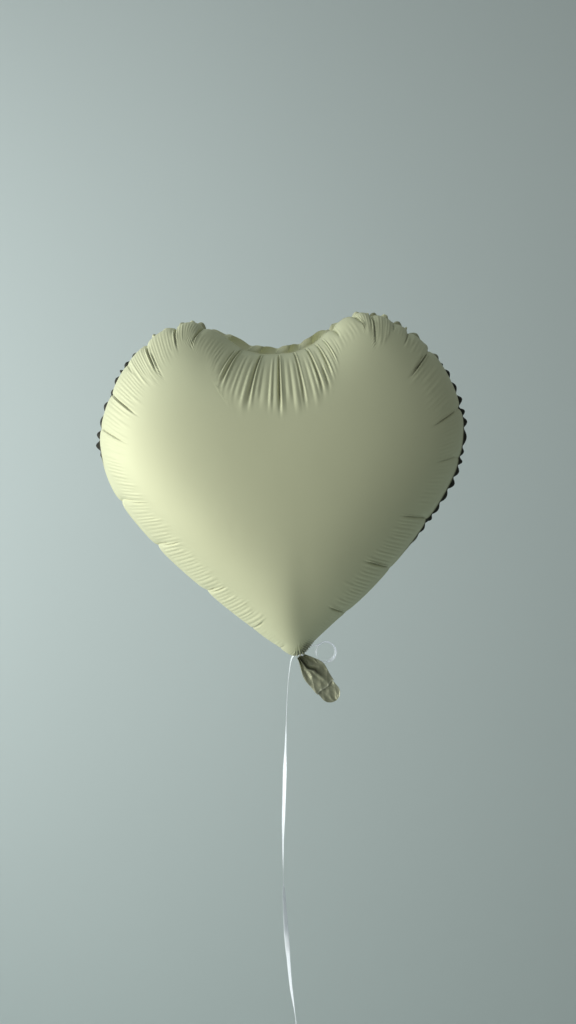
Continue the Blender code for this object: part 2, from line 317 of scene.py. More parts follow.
def knots(value, pairs):
    """A smooth line through (place, height) pairs, with level ends."""
    places = np.array([p for p, _ in pairs])
    heights = np.array([h for _, h in pairs])
    index = np.clip(np.searchsorted(places, value) - 1, 0, len(places) - 2)
    u = np.clip((value - places[index]) / (places[index + 1] - places[index]), 0.0, 1.0)
    return heights[index] + (heights[index + 1] - heights[index]) * u * u * (3 - 2 * u)


def grid_faces(rows, columns, closed):
    """Quads over a grid, row by row, wound so that rows x columns is the outward side."""
    across = np.arange(columns if closed else columns - 1)
    ahead = (across + 1) % columns
    low = (np.arange(rows - 1) * columns)[:, None]
    quads = np.stack([low + across, low + ahead, low + columns + ahead, low + columns + across], axis=2)
    return quads.reshape(-1, 4)


def add_mesh(name, points, faces, material, uv=None, attribute=None):
    """A mesh object from arrays. uv and the attribute hold one value per point."""
    mesh = bpy.data.meshes.new(name)
    mesh.from_pydata(points.tolist(), [], faces)
    mesh.materials.append(material)
    mesh.shade_smooth()
    if uv is not None:
        corners = np.empty(len(mesh.loops), dtype=np.int32)
        mesh.loops.foreach_get("vertex_index", corners)
        layer = mesh.uv_layers.new(name="run")
        layer.data.foreach_set("uv", uv[corners].astype(np.float32).ravel())
    if attribute is not None:
        # The painted shade, one value per point, which the foil materials mix towards near black
        layer = mesh.attributes.new("painted_shade", "FLOAT", "POINT")
        layer.data.foreach_set("value", attribute.astype(np.float32).ravel())
    made = bpy.data.objects.new(name, mesh)
    bpy.context.collection.objects.link(made)
    return made


def heart_to_world(points):
    """From the heart's upright frame: leant about Y and set at the seam plane's distance from the wall."""
    x, y, z = points[..., 0], points[..., 1], points[..., 2]
    return np.stack([x * math.cos(LEAN) - z * math.sin(LEAN), y - SEAM_TO_WALL,
                     x * math.sin(LEAN) + z * math.cos(LEAN)], axis=-1)


# ------------------------ the films' relief
# How full the film stands near the weld, by share along the edge from the tip, up the right side, over the
# lobes and down the left side
FULLNESS = (
    (0.0, 0.0), (0.05, 0.0), (0.06, 0.0002), (0.12, -0.0008), (0.17, -0.0018), (0.23, -0.0026),
    (0.27, -0.0016), (0.32, 0.0), (0.38, -0.0008), (0.44, 0.0012), (0.47, -0.0010), (0.53, -0.0010),
    (0.56, 0.0006), (0.60, 0.0004), (0.64, -0.0006), (0.69, -0.0008), (0.73, -0.0012), (0.78, -0.0028),
    (0.83, -0.0014), (0.90, 0.0), (0.94, 0.0005), (1.0, 0.0),
)

# How far the wrinkles turn from square to the edge, towards the tip, in degrees
TURN = (
    (0.0, 0.0), (0.02, 14.0), (0.054, 22.0), (0.111, 23.0), (0.167, 27.5), (0.232, 29.0), (0.265, 24.0),
    (0.280, 17.0), (0.311, 18.0), (0.341, 12.0), (0.367, 10.0), (0.408, 7.0), (0.424, -5.0),
    (0.445, -13.0), (0.4707, -12.0), (0.4781, -6.5), (0.4873, -3.0), (0.4985, -2.5), (0.5114, -6.0),
    (0.5263, 1.0), (0.545, 3.0), (0.565, 9.0), (0.580, 1.0), (0.597, -5.0), (0.630, -13.5),
    (0.6875, -14.5), (0.721, -19.5), (0.760, -29.0), (0.793, -34.0), (0.845, -30.0), (0.906, -24.0),
    (0.956, -20.0), (0.985, -10.0), (1.0, 0.0),
)

# How far in the wrinkles can run, in metres
REACH = (
    (0.0, 0.010), (0.012, 0.012), (0.03, 0.018), (0.054, 0.030), (0.09, 0.045), (0.14, 0.058),
    (0.37, 0.060), (0.405, 0.058), (0.420, 0.038), (0.448, 0.036), (0.462, 0.046), (0.4745, 0.074),
    (0.486, 0.082), (0.515, 0.082), (0.5265, 0.068), (0.536, 0.050), (0.550, 0.040), (0.575, 0.038),
    (0.590, 0.042), (0.605, 0.052), (0.63, 0.068), (0.67, 0.060), (0.86, 0.058), (0.91, 0.045),
    (0.946, 0.030), (0.97, 0.018), (0.988, 0.012), (1.0, 0.010),
)

# How far in each mesh column's second point lies
BEND = (
    (0.0, 0.016), (0.03, 0.024), (0.07, 0.044), (0.14, 0.058), (0.38, 0.052), (0.43, 0.042), (0.475, 0.070),
    (0.525, 0.070), (0.57, 0.042), (0.62, 0.052), (0.86, 0.058), (0.93, 0.044), (0.97, 0.024), (1.0, 0.016),
)

# How far the mesh columns turn from square to the edge, in degrees
COLUMN_TURN = (
    (0.0, 0.0), (0.03, 20.0), (0.07, 24.0), (0.17, 28.0), (0.24, 24.0), (0.30, 15.0), (0.36, 8.0),
    (0.40, 2.0), (0.44, 0.0), (0.56, 0.0), (0.60, -2.0), (0.63, -13.0), (0.70, -16.0), (0.76, -26.0),
    (0.83, -30.0), (0.93, -24.0), (0.97, -20.0), (1.0, 0.0),
)

# Main folds: share along the edge, nick in the outline, depth, half width, start and end in from the weld,
# drift along the edge per metre in, and the side of the bright shoulder. Lengths are in millimetres.
FOLDS = (
    (0.0537, 0.6, 1.6, 0.7, 2.0, 24.0, 0.0, 1), (0.1112, 0.8, 1.8, 0.7, 3.0, 34.0, 0.0, 1),
    (0.1668, 1.8, 1.2, 0.6, 1.0, 38.0, 0.0, 1), (0.2316, 1.2, 0.9, 0.6, 6.0, 38.0, 0.0, 1),
    (0.2798, 2.6, 1.5, 0.7, 14.0, 54.0, 0.0, 1), (0.3410, 2.6, 2.0, 0.8, 12.0, 57.0, 0.0, -1),
    (0.3450, 0.0, 0.8, 0.6, 20.0, 56.0, 0.06, -1), (0.3669, 2.8, 1.2, 0.7, 3.0, 30.0, 0.0, -1),
    (0.3836, 2.8, 0.8, 0.7, 0.0, 22.0, 0.0, -1), (0.4077, 3.6, 1.8, 0.75, 0.0, 54.0, 0.0, 1),
    (0.4110, 0.0, 0.9, 0.6, 8.0, 50.0, 0.0, -1), (0.4280, 3.8, 1.6, 0.75, 0.0, 30.0, 0.25, -1),
    (0.4500, 2.6, 0.7, 0.7, 0.0, 20.0, 0.0, -1), (0.4640, 0.3, 0.8, 0.6, 6.0, 48.0, 0.0, -1),
    (0.4707, 0.3, 1.2, 0.6, 5.0, 50.0, 0.0, -1), (0.4745, 0.0, 1.2, 0.55, 34.0, 70.0, 0.0, -1),
    (0.4781, 0.3, 1.5, 0.6, 3.0, 70.0, 0.0, -1), (0.4873, 0.3, 1.4, 0.6, 3.0, 74.0, 0.0, -1),
    (0.4985, 0.3, 1.6, 0.6, 5.0, 79.0, 0.0, -1), (0.5114, 0.3, 1.7, 0.65, 4.0, 74.0, 0.0, -1),
    (0.5263, 0.3, 1.4, 0.6, 2.0, 60.0, 0.0, -1), (0.5290, 0.0, 0.9, 0.5, 10.0, 56.0, 0.0, -1),
    (0.5652, 4.2, 2.0, 0.75, 0.0, 40.0, 0.0, -1), (0.5967, 4.0, 1.8, 0.75, 0.0, 38.0, 0.0, 1),
    (0.6263, 0.0, 1.4, 0.6, 24.0, 63.0, 0.0, 1), (0.6300, 2.6, 2.0, 0.8, 8.0, 50.0, 0.0, 1),
    (0.6560, 1.0, 0.6, 0.7, 4.0, 26.0, 0.0, 1), (0.6875, 1.6, 1.7, 0.7, 1.0, 52.0, 0.0, 1),
    (0.7208, 0.8, 1.2, 0.6, 4.0, 46.0, 0.0, 1), (0.7931, 1.8, 1.2, 0.6, 4.0, 24.0, 0.0, -1),
    (0.7965, 0.0, 1.2, 0.5, 18.0, 38.0, 0.0, -1), (0.8450, 1.8, 1.2, 0.6, 0.0, 18.0, 0.0, -1),
    (0.8475, 0.0, 1.3, 0.5, 10.0, 32.0, 0.0, -1), (0.9050, 1.6, 1.2, 0.6, 0.0, 14.0, 0.0, -1),
    (0.9078, 0.0, 1.3, 0.5, 8.0, 26.0, 0.0, -1), (0.9561, 0.4, 1.2, 0.6, 0.0, 18.0, 0.0, -1),
    (0.9870, 0.4, 0.7, 0.5, 0.0, 8.0, 0.0, -1),
)

# Fine ripples: shares between which they run, pitch, height, start and end in from the weld, in millimetres
RIPPLES = (
    (0.004, 0.050, 3.0, 0.16, 2.0, 14.0), (0.055, 0.082, 4.2, 0.34, 5.0, 27.0),
    (0.082, 0.166, 4.5, 0.36, 6.0, 36.0), (0.180, 0.230, 5.0, 0.20, 10.0, 36.0),
    (0.233, 0.278, 5.2, 0.28, 12.0, 46.0), (0.282, 0.338, 5.4, 0.42, 18.0, 56.0),
    (0.345, 0.366, 4.6, 0.30, 10.0, 32.0), (0.369, 0.383, 4.0, 0.20, 8.0, 24.0),
    (0.388, 0.407, 3.6, 0.55, 6.0, 44.0), (0.411, 0.426, 3.4, 0.50, 5.0, 34.0),
    (0.432, 0.462, 4.0, 0.22, 14.0, 40.0), (0.462, 0.4985, 3.3, 0.62, 16.0, 76.0),
    (0.4985, 0.530, 3.3, 0.66, 18.0, 76.0), (0.530, 0.564, 3.8, 0.36, 16.0, 56.0),
    (0.566, 0.596, 3.7, 0.50, 5.0, 38.0), (0.597, 0.629, 3.5, 0.40, 8.0, 50.0),
    (0.630, 0.652, 3.2, 0.55, 6.0, 58.0), (0.654, 0.687, 4.0, 0.32, 12.0, 50.0),
    (0.688, 0.740, 4.3, 0.36, 6.0, 46.0), (0.743, 0.792, 4.4, 0.32, 8.0, 38.0),
    (0.797, 0.845, 4.4, 0.36, 5.0, 35.0), (0.848, 0.905, 4.3, 0.40, 4.0, 31.0),
    (0.908, 0.955, 4.1, 0.40, 3.0, 26.0), (0.957, 0.985, 3.2, 0.20, 2.0, 13.0),
)
FOIL_SEED = 41
MM = 0.001


def heart_loop():
    """The flange's outer edge as one closed loop in (x, z), and each point's share along its open part. It
    runs from the neck's right corner over both lobes to its left corner and back along the neck's foot, with
    its points twice as close in the notch."""
    side = []
    for across, along in HALF_OUTLINE:
        reach = LOBE_HEIGHT if along > 0 else TIP_DEPTH
        side.append((across * HEART_WIDTH / 2, along * reach))
    side.append((NECK_WIDTH / 2, -TIP_DEPTH))
    even = smooth_curve(side[::-1] + [(-x, z) for x, z in side[1:]], 6001)
    place = np.linspace(0.0, 1.0, 6001)
    crowd = np.cumsum(1 + 1.1 * between(0.445, 0.465, 0.535, 0.555, place))
    crowd = (crowd - crowd[0]) / (crowd[-1] - crowd[0])
    open_share = np.interp(np.linspace(0.0, 1.0, SIDE_COLUMNS), crowd, place)
    edge = np.stack([np.interp(open_share, place, column) for column in even.T], axis=1)
    depth = np.minimum(edge[:, 1], 0.0) / TIP_DEPTH
    edge[:, 0] += TIP_SHIFT * depth**2
    part = np.linspace(0.0, 1.0, FOOT_COLUMNS + 1, endpoint=False)[1:, None]
    foot = edge[-1] * (1 - part) + edge[0] * part
    share = np.concatenate([open_share, 1.0 + 0.0072 * part[:, 0]])
    return np.vstack([edge, foot]), share


def turned_about(values, width):
    """A closed run of values averaged over a window of the given number of columns."""
    window = np.hanning(width + 2)[1:-1]
    window /= window.sum()
    padded = np.concatenate([values[-width:], values, values[:width]])
    return np.stack([np.convolve(column, window, "same")[width:-width] for column in padded.T], axis=1)


def outward_normals(edge):
    """Unit normals of the closed loop, pointing away from its middle, softened over a few millimetres."""
    along = np.roll(edge, -1, axis=0) - np.roll(edge, 1, axis=0)
    normal = unit(np.stack([along[:, 1], -along[:, 0]], axis=1))
    return unit(turned_about(normal, 9))


def mean_distance(points, rim):
    """Two over the integral, over every direction, of one over the distance to the rim, exact on straight
    edges. Close to the rim it is the plain distance, and further in it blends all sides smoothly."""
    start = rim[None] - points[:, None]
    end = np.roll(rim, -1, axis=0)[None] - points[:, None]
    along = unit(end - start)
    square = start[:, :, 0] * along[:, :, 1] - start[:, :, 1] * along[:, :, 0]
    square = np.where(np.abs(square) < 1e-9, 1e-9, square)
    sine_end = np.sum(end * along, axis=2) / np.linalg.norm(end, axis=2)
    sine_start = np.sum(start * along, axis=2) / np.linalg.norm(start, axis=2)
    return 2.0 / np.sum((sine_end - sine_start) / square, axis=1)


def flange_width(share):
    """The weld is 5 mm wide, less at the neck. In the notch the slack film beside it lies flat with it."""
    notch = between(0.44, 0.48, 0.52, 0.56, share)
    neck = 1 - between(0.0, 0.020, 0.98, 1.0, share)
    return 0.0050 + 0.0036 * notch - 0.0032 * neck


def rounded_rows(rows, spread):
    """Each row, a closed line, blurred along itself by its own spread: its Fourier terms k are multiplied by
    exp(-(2 pi k spread)^2 / 2)."""
    terms = np.fft.fft(rows[:, :, 0] + 1j * rows[:, :, 1], axis=1)
    order = np.fft.fftfreq(rows.shape[1], 1.0 / rows.shape[1])
    terms *= np.exp(-0.5 * (2 * np.pi * order[None] * spread[:, None]) ** 2)
    line = np.fft.ifft(terms, axis=1)
    return np.stack([line.real, line.imag], axis=2)


def wrinkle_ways(outward, share, turns):
    """Unit vectors into the heart along the wrinkles, turned from square to the edge."""
    turn = np.radians(knots(np.minimum(share, 1.0), turns))
    inward = -outward
    turned = np.stack([inward[:, 0] * np.cos(turn) - inward[:, 1] * np.sin(turn),
                       inward[:, 0] * np.sin(turn) + inward[:, 1] * np.cos(turn)], axis=1)
    return unit(turned_about(turned, 41))


def film_plan(edge, share):
    """Plan grid in (x, z) and each point's distance in from the weld. Every column leaves the weld about
    along its wrinkle and bends to the crown: a cubic Bezier curve whose second point is up to 70 mm in and
    whose third is half as far from the crown as the second. Rows lie at the 1.9th power of even steps."""
    outward = outward_normals(edge)
    weld = edge - outward * flange_width(share)[:, None]
    turned = wrinkle_ways(outward, share, COLUMN_TURN)
    t = (np.linspace(0.0, 1.0, FILM_ROWS) ** 1.9)[:, None, None]
    second = weld + turned * knots(np.minimum(share, 1.0), BEND)[:, None]
    third = second * 0.5
    plan = (1 - t) ** 3 * weld + 3 * (1 - t) ** 2 * t * second + 3 * (1 - t) * t**2 * third
    plan = rounded_rows(plan, 0.040 * step(0.20, 0.80, t[:, 0, 0]))
    gone = np.linalg.norm(np.diff(plan, axis=0), axis=2)
    inner = np.vstack([np.zeros((1, len(edge))), np.cumsum(gone, axis=0)])
    return plan, inner, outward


def crossed(first, second):
    return first[..., 0] * second[..., 1] - first[..., 1] * second[..., 0]


def wrinkle_place(plan, inner, outward, share):
    """Where each grid point lies among the straight wrinkles: the share s and the distance u at which
    weld(s) + u way(s) is the point, found by Newton's steps from the point's own column. Points that no
    wrinkle reaches get a distance beyond every reach."""
    count = SIDE_COLUMNS
    line = np.hstack([plan[0], wrinkle_ways(outward, share, TURN)])[:count]
    slope = np.gradient(line, share[:count], axis=0)
    table = np.hstack([line, slope])
    seen = np.broadcast_to(np.minimum(share, 1.0), inner.shape).copy()
    gone = inner.copy()
    for _ in range(14):
        held = np.stack([np.interp(seen, share[:count], column) for column in table.T], axis=-1)
        way = held[..., 2:4]
        miss = plan - held[..., 0:2] - gone[..., None] * way
        aside = held[..., 4:6] + gone[..., None] * held[..., 6:8]
        turn = crossed(aside, way)
        turn = np.where(np.abs(turn) < 0.05, np.where(turn < 0, -0.05, 0.05), turn)
        seen = np.clip(seen + np.clip(crossed(miss, way) / turn, -0.006, 0.006), 0.0, 1.0)
        gone = np.maximum(gone + np.clip(crossed(aside, miss) / turn, -0.006, 0.006), 0.0)
    lost = np.linalg.norm(miss, axis=2) > 0.0008
    gone = np.where(lost, 0.2, gone)
    foot = share > 1.0
    seen[:, foot] = share[foot]
    gone[:, foot] = inner[:, foot]
    gone[0] = 0.0
    seen[0] = share
    return seen, gone


def film_height(plan):
    """Height of the inflated film over the seam plane: with w the mean distance as a share of its greatest,
    crown height times sqrt(w) (1 + gain (1 - w) - drop (1 - w)^2)."""
    rim = plan[0][::7]
    distance = np.stack([mean_distance(row, rim) for row in plan[1:]])
    share = np.clip(distance / mean_distance(np.zeros((1, 2)), rim)[0], 0.0, 1.0)
    rise = np.sqrt(share) * (1 + PROFILE_GAIN * (1 - share) - PROFILE_DROP * (1 - share) ** 2)
    return CROWN * np.vstack([np.zeros((1, plan.shape[1])), rise])


def grid_normals(points, closed_columns=True):
    """Unit normals of a grid from the cross product of its two directions."""
    down = np.gradient(points, axis=0)
    if closed_columns:
        across = np.roll(points, -1, axis=1) - np.roll(points, 1, axis=1)
    else:
        across = np.gradient(points, axis=1)
    normal = np.cross(across, down)
    return normal / np.maximum(np.linalg.norm(normal, axis=2), 1e-12)[:, :, None]


def fold_relief(seen, inner, length):
    """Sum of the main folds. Across a fold, x is the distance along the edge from its line in half widths:
    a valley exp(-x^2) beside a ridge 0.55 exp(-(x - 1.7)^2), fading in at its start and out at its end,
    with a nick exp(-run / 3.4 mm) that fades within 22 mm of the weld. Also returns how deep in a valley
    each point lies, for the painted shade in the valleys."""
    relief = np.zeros_like(inner)
    valley = np.zeros_like(inner)
    for place, nick, depth, width, start, end, drift, side in FOLDS:
        begin = start * MM
        finish = end * MM
        run = (seen - place) * length + drift * inner
        x = run / (width * MM * (0.85 + 0.4 * inner / finish)) * side
        cover = between(begin - 0.002, begin + 0.005, 0.62 * finish, finish, inner)
        relief += depth * 0.00125 * cover * (0.55 * np.exp(-(x - 1.7) ** 2) - np.exp(-x * x))
        relief -= nick * 0.0013 * np.exp(-np.abs(run) / 0.0034) * (1 - step(0.006, 0.022, inner))
        # Painted shade along the middle of each fold's valley
        valley += 0.36 * depth * cover * np.exp(-(x / 0.85) ** 2)
    return relief, np.clip(valley, 0.0, 0.85)


def ripple_relief(seen, inner, length, seed):
    """Fine ripples. Each cell of one pitch holds one ridge sin^1.3 with its own height, start and end, and
    the ridge grows on its way in."""
    relief = np.zeros_like(inner)
    chance = np.random.default_rng(seed)
    for first, last, pitch, height, start, end in RIPPLES:
        cells = max(2, int(round((last - first) * length / (pitch * MM))))
        edges = np.linspace(first, last, cells + 1)
        edges[1:-1] += chance.uniform(-0.22, 0.22, cells - 1) * (last - first) / cells
        tall = 1.22 * MM * height * chance.uniform(0.55, 1.25, cells)
        begin = MM * start * chance.uniform(0.7, 1.4, cells)
        finish = MM * end * chance.uniform(0.78, 1.06, cells)
        cell = np.clip(np.searchsorted(edges, seen) - 1, 0, cells - 1)
        u = np.clip((seen - edges[cell]) / (edges[cell + 1] - edges[cell]), 0.0, 1.0)
        ridge = np.abs(np.sin(np.pi * u)) ** 1.3 * tall[cell]
        cover = step(begin[cell] * 0.5, begin[cell] * 1.6, inner) * (0.55 + 0.65 * inner / finish[cell])
        relief += ridge * cover * (1 - step(finish[cell] * 0.76, finish[cell], inner))
    return relief


def weld_rise(inner):
    """The root of the distance in from the weld, up to 1 at 2.2 mm."""
    return np.sqrt(np.clip(inner / 0.0022, 0.0, 1.0))


def tip_swell(plan, inner):
    """How far the full film bulges over the tie: with r the distance from the tip,
    8.4 mm exp(-(r / 62 mm)^2) on the left and 4 mm exp(-(r / 36 mm)^2) on the right, blended as a logistic
    step 5 mm wide."""
    aside = plan[..., 0] - TIP_SHIFT
    away = np.hypot(aside, plan[..., 1] + TIP_DEPTH)
    left = 1 / (1 + np.exp((aside - 0.002) / 0.005))
    left_swell = 0.0084 * np.exp(-(away / 0.062) ** 2)
    right_swell = 0.0040 * np.exp(-(away / 0.036) ** 2)
    return (left_swell * left + right_swell * (1 - left)) * weld_rise(inner)


def tip_gathers(share, inner, length):
    """Sharp pleats that run up from the tie on its right: 1 - 2 |cos|^0.6 of the run along the edge at a
    2.4 mm pitch, deepest 5 mm from the corner and gone 20 mm along the edge and 17 mm in. Also returns how
    deep in a pleat each point lies, for the painted shade in the pleats."""
    run = length * np.where(share > 0.5, share - 1.0036, share)
    near = np.exp(-((run - 0.0050) / 0.0095) ** 2)
    pleat = 1 - 2 * np.abs(np.cos(np.pi * run / 0.0024)) ** 0.6
    cover = near * between(0.0, 0.0010, 0.0065, 0.0170, inner)
    # The second value is the painted shade in the pleats
    return 0.00165 * pleat * cover, 0.95 * np.maximum(-pleat, 0.0) * cover


def full_relief(plan, share, inner, length, seed):
    """Fullness near the weld, rising as the root of the distance and fading by four fifths of the wrinkles'
    reach, plus the swell and pleats at the tip, and the folds and ripples, which end with the reach. Also
    returns the painted shade of the folds and pleats."""
    held = np.minimum(share, 1.0)
    gone = inner / knots(held, REACH)
    near = weld_rise(inner) * (1 - step(0.12, 0.82, gone))
    pleats, tucks = tip_gathers(share, inner, length)
    relief = knots(held, FULLNESS) * near + tip_swell(plan, inner) + pleats
    folds, valley = fold_relief(share, inner, length)
    within = 1 - step(0.62, 0.98, gone)
    relief = relief + (folds + ripple_relief(share, inner, length, seed)) * within
    return relief, np.maximum(valley, tucks) * within


def flange_shape(share, length):
    """How far the flange stands out, 0 folded right back to 1 in the seam plane, its painted shade, how it
    tips, and where it is painted near black. It scallops in cells of about 13 mm on the upper sides, each
    sin^0.9 across, and lies open in the notch, in facets that slant because each row's cells lie further
    along."""
    chance = np.random.default_rng(FOIL_SEED + 7)
    cells = int(length / 0.013)
    edges = np.linspace(0.0, 1.0, cells + 1)
    edges[1:-1] += chance.uniform(-0.34, 0.34, cells - 1) / cells
    slant = np.linspace(0.0, 1.0, FLANGE_ROWS)[1:, None] * 0.005
    seen = np.clip(share[None] + slant * between(0.44, 0.46, 0.54, 0.56, share), 0.0, 1.0)
    cell = np.clip(np.searchsorted(edges, seen) - 1, 0, cells - 1)
    u = np.clip((seen - edges[cell]) / (edges[cell + 1] - edges[cell]), 0.0, 1.0)
    lens = np.sin(np.pi * u) ** 0.9 * chance.uniform(0.62, 0.97, cells)[cell]
    right = between(0.125, 0.175, 0.42, 0.45, share)
    left = between(0.55, 0.58, 0.735, 0.755, share)
    notch = between(0.43, 0.455, 0.545, 0.57, share)
    top = between(0.345, 0.355, 0.615, 0.630, share) * (1 - notch)
    opened = np.clip(lens * (right + left) * (1 + 0.3 * top) + notch, 0.0, 1.0)
    # Painted shade: the flange's upper sides near black, standing in for its own shadow
    shade = between(0.12, 0.155, 0.325, 0.345, share) + between(0.632, 0.645, 0.745, 0.76, share)
    # Painted shade on every other facet in the notch and on the lobe tops
    painted_facet_shade = np.where(cell % 2 == 0, 0.34, 0.0) * (notch + top)
    facet = np.where(cell % 2 == 0, 2 * u - 1, 1 - 2 * u)
    return opened, np.clip(shade + painted_facet_shade, 0.0, 1.0), facet * notch, shade


def flange_rows(weld, outward, share, length):
    """The flange's middle surface, weld to edge: an arc that turns back until it stands out by its open
    share, and tips by the facet share of 34 degrees in the notch. Also returns its painted shade."""
    opened, tone, facet, painted_dark = flange_shape(share, length)
    width = flange_width(share) + 0.0010 * painted_dark
    foot = step(1.0, 1.001, share)
    opened = opened + (1 - opened) * foot
    u = np.linspace(0.0, 1.0, FLANGE_ROWS)[1:, None]
    angle = np.arccos(np.clip(opened, 0.03, 1.0)) * np.minimum(1.0, 1.6 * u) + np.radians(34) * facet
    part = width / (FLANGE_ROWS - 1)
    out = np.cumsum(np.cos(angle) * part, axis=0)
    back = np.cumsum(np.sin(angle) * part, axis=0)
    x = weld[None, :, 0] + outward[None, :, 0] * out
    z = weld[None, :, 2] + outward[None, :, 1] * out
    return np.stack([x, weld[None, :, 1] + back, z], axis=2), tone


def film_rows(side, seed):
    """One panel's middle surface as rows of closed columns, flange edge first, then the weld, then the
    inflated film moved along its normals by the relief, and the crown. The rear one is the front one
    mirrored and pressed flat before the wall by a softened limit. Also returns each point's UVs, in metres
    along the edge and in from the weld, and its painted shade."""
    edge, share = heart_loop()
    length = distance_along(edge[:SIDE_COLUMNS])[-1]
    plan, inner, outward = film_plan(edge, share)
    base = np.stack([plan[:, :, 0], -film_height(plan), plan[:, :, 1]], axis=2)
    flat_out = np.stack([outward[:, 0], 0 * outward[:, 0], outward[:, 1]], axis=1)
    normal = grid_normals(base)
    normal[0] = flat_out
    if np.sum(normal[6] * flat_out) < 0:
        normal[1:] = -normal[1:]
    normal[-1] = (0.0, -1.0, 0.0)
    relief, valley = full_relief(plan, *wrinkle_place(plan, inner, outward, share), length, seed)
    shaped = base + normal * relief[:, :, None]
    nick, _ = fold_relief(share[None], inner[:1], length)
    weld = base[0] + flat_out * nick[0][:, None]
    flange, shade = flange_rows(weld, outward, share, length)
    shaped[0] = weld + (0.0, -FOIL_GAP / 2, 0.0)
    if side > 0:
        limit = SEAM_TO_WALL - WALL_SPACE
        shaped[:, :, 1] = limit - WALL_EASE * np.logaddexp(0.0, (limit + shaped[:, :, 1]) / WALL_EASE)
    lifted = flange + np.array([0.0, side * FOIL_GAP / 2, 0.0])
    lifted[-1] = flange[-1]
    outer = np.linspace(-1, 0, FLANGE_ROWS)[:-1, None] * flange_width(share)
    inward = np.vstack([outer, inner])
    run = np.broadcast_to(share * length, inward.shape)
    # Painted shade per point: the flange's first, then that of the folds and pleats
    painted_dark = np.vstack([shade[::-1] * np.ones((FLANGE_ROWS - 1, 1)), valley])
    return np.concatenate([lifted[::-1], shaped]), np.stack([run, inward], axis=2), painted_dark


def make_film(name, side, seed, material):
    """One film panel, side -1 in front and +1 behind. All its columns meet in one point at the crown."""
    rows, uv, painted_dark = film_rows(side, seed)
    count = rows.shape[1]
    crown = rows[-1].mean(axis=0)
    points = heart_to_world(np.vstack([rows[:-1].reshape(-1, 3), crown[None]]))
    last = (len(rows) - 2) * count
    ring = np.arange(count)
    cap = np.stack([last + ring, last + (ring + 1) % count, np.full(count, len(points) - 1)], axis=1)
    quads = grid_faces(len(rows) - 1, count, True)
    if side < 0:
        faces = quads.tolist() + cap.tolist()
    else:
        faces = quads[:, ::-1].tolist() + cap[:, ::-1].tolist()
    uv = np.vstack([uv[:-1].reshape(-1, 2), [[0.5, 0.15]]])
    return add_mesh(name, points, faces, material, uv, np.append(painted_dark[:-1].ravel(), 0.0))


# ------------------------ ribbon
def knot_place():
    return heart_to_world(np.array([TIP_SHIFT + KNOT_OFFSET, KNOT_BEHIND, -TIP_DEPTH - NECK_LENGTH / 2]))


def strip_along(path, twist, width, thickness):
    """A flat, slightly cupped strip carried along a path in an XZ plane. Its width lies across the path in
    that plane where the twist is 0, and along Y where it is a quarter turn. Returns the points, faces, UVs
    and run of a closed strip."""
    tangent = unit(np.gradient(path, axis=0))
    aside = unit(np.cross(tangent, np.array([0.0, 1.0, 0.0])))
    deep = np.cross(aside, tangent)
    wide = aside * np.cos(twist)[:, None] + deep * np.sin(twist)[:, None]
    thick = np.cross(tangent, wide)
    across = np.array([-1.0, -0.94, -0.5, 0.0, 0.5, 0.94, 1.0, 0.94, 0.5, 0.0, -0.5, -0.94])
    lift = np.array([0.0, 1.0, 1.0, 1.0, 1.0, 1.0, 0.0, -1.0, -1.0, -1.0, -1.0, -1.0])
    cup = 0.10 * (across**2 - 0.5)
    points = (path[:, None] + wide[:, None] * (across * width / 2)[None, :, None]
              + thick[:, None] * (lift * thickness / 2 + cup * width / 2)[None, :, None])
    count = len(across)
    faces = grid_faces(len(path), count, True)[:, ::-1].tolist()
    faces.append(list(range(count)))
    faces.append(list(range((len(path) - 1) * count, len(path) * count))[::-1])
    run = distance_along(path)
    uv = np.stack([np.broadcast_to(run[:, None], (len(path), count)),
                   np.broadcast_to(across * width / 2, (len(path), count))], axis=2)
    return points.reshape(-1, 3), faces, uv.reshape(-1, 2), run


def polar(distance, angle):
    return (distance * math.cos(angle), distance * math.sin(angle))


# The long end's twist along its length from the knot, in metres and degrees
LONG_TWIST = (
    (0.0, -78.0), (0.012, -84.0), (0.03, -88.0), (0.065, -87.0), (0.09, -72.0), (0.12, -40.0),
    (0.16, -48.0), (0.195, -74.0), (0.225, -90.0), (0.250, -128.0), (0.270, -148.0), (0.292, -190.0),
    (0.310, -222.0), (0.335, -232.0), (0.37, -262.0), (0.40, -270.0),
)


def spiral(centre, outer, inner, entry, turns, count):
    """A clockwise spiral in (x, z) from its outer to its inner radius, evenly by turn."""
    turn = np.linspace(0.0, 2 * math.pi * turns, count)
    radius = outer + (inner - outer) * turn / turn[-1]
    angle = entry - turn
    return np.stack([centre[0] + radius * np.cos(angle), centre[1] + radius * np.sin(angle)], axis=1)


def long_end_path():
    """From the knot down the route, then into the coil: a spiral from its outer to its inner radius."""
    origin = knot_place()
    coil = spiral(COIL_CENTRE, COIL_OUTER, COIL_INNER, COIL_ENTRY, COIL_TURNS, int(COIL_TURNS * 56))
    hung = [polar(*LONG_START), *LONG_ROUTE, COIL_LEAD, tuple(coil[2]), tuple(coil[8])]
    route = evenly(np.vstack([smooth_curve(hung, 260)[:-1], coil[9:]]), 720)
    level = np.full(len(route), origin[1])
    return np.stack([origin[0] + route[:, 0], level, origin[2] + route[:, 1]], axis=1)


def make_long_end(material):
    path = long_end_path()
    twist = np.radians(knots(distance_along(path), LONG_TWIST))
    points, faces, uv, run = strip_along(path, twist, RIBBON_WIDTH, RIBBON_THICKNESS)
    made = add_mesh("long_ribbon", points, faces, material, uv)
    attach(made, "long_end")
    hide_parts("ribbon_long", "ribbon_coil")
    return made


